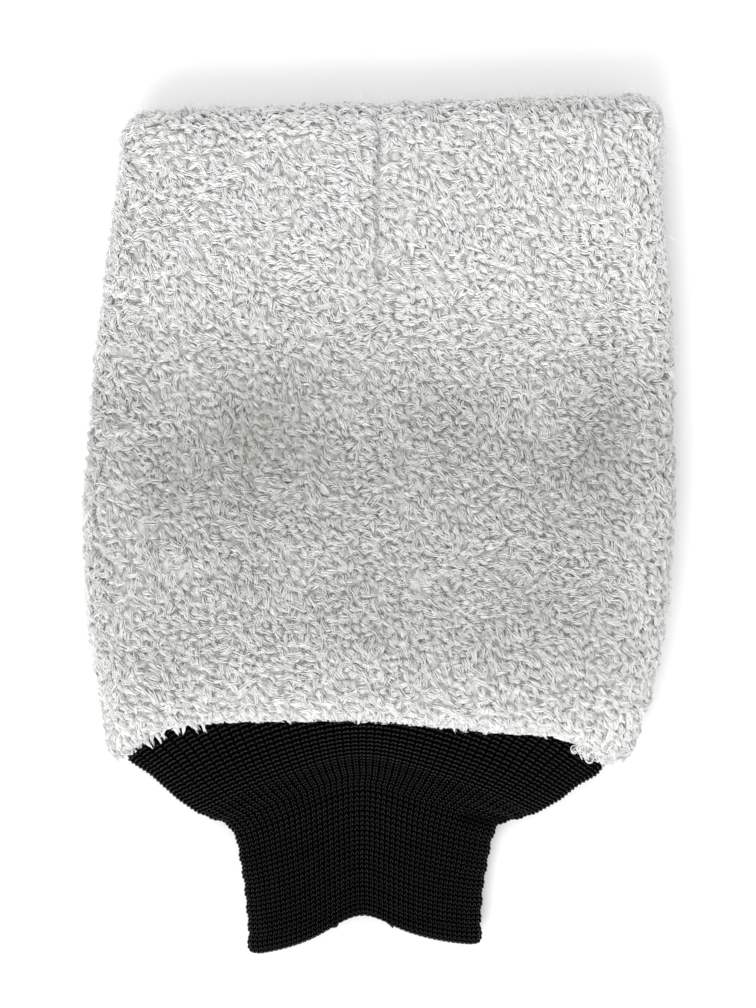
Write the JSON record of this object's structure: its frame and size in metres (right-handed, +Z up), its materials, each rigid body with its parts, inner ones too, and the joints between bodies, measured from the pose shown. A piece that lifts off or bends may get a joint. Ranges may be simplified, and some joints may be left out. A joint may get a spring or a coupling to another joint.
{
  "type": "wash mitt",
  "caption": "White plush wash mitt with a lined hand pocket, a stitched finger divider and a black knitted wrist cuff that folds at the wrist.",
  "frame": {"origin": "under the middle of the mitt lying flat, on the surface it lies on", "axes": "+X across the mitt, +Y from the cuff's mouth towards the finger end, +Z up through the front plush"},
  "size_m": [0.2, 0.2892, 0.028],
  "materials": {
    "plush": "white short-loop microfibre plush, matt",
    "lining": "plain knitted polyester lining, matt",
    "white_thread": "spun sewing thread",
    "black_thread": "spun sewing thread",
    "knit": "black knitted yarn, matt with a faint sheen",
    "elastic": "covered rubber thread"
  },
  "bodies": {
    "mitt": {"front_plush_panel": "plush", "back_plush_panel": "plush", "front_lining": "lining", "back_lining": "lining", "left_side_seam_thread": "white_thread", "right_side_seam_thread": "white_thread", "top_seam_thread": "white_thread", "divider_stitches": "white_thread", "divider_end_tack": "white_thread", "cuff_joining_thread": "black_thread", "cuff_flare": "knit"},
    "sleeve": {"cuff_sleeve": "knit", "cuff_welt": "knit", "cuff_elastic_threads": "elastic"}
  },
  "joints": [
    {"name": "wrist_flex", "type": "hinge", "parent": "mitt", "child": "sleeve", "pos_m": [-0.005, -0.10635, 0.0132], "axis": [-1, 0, 0], "range_deg": [0, 75]}
  ]
}
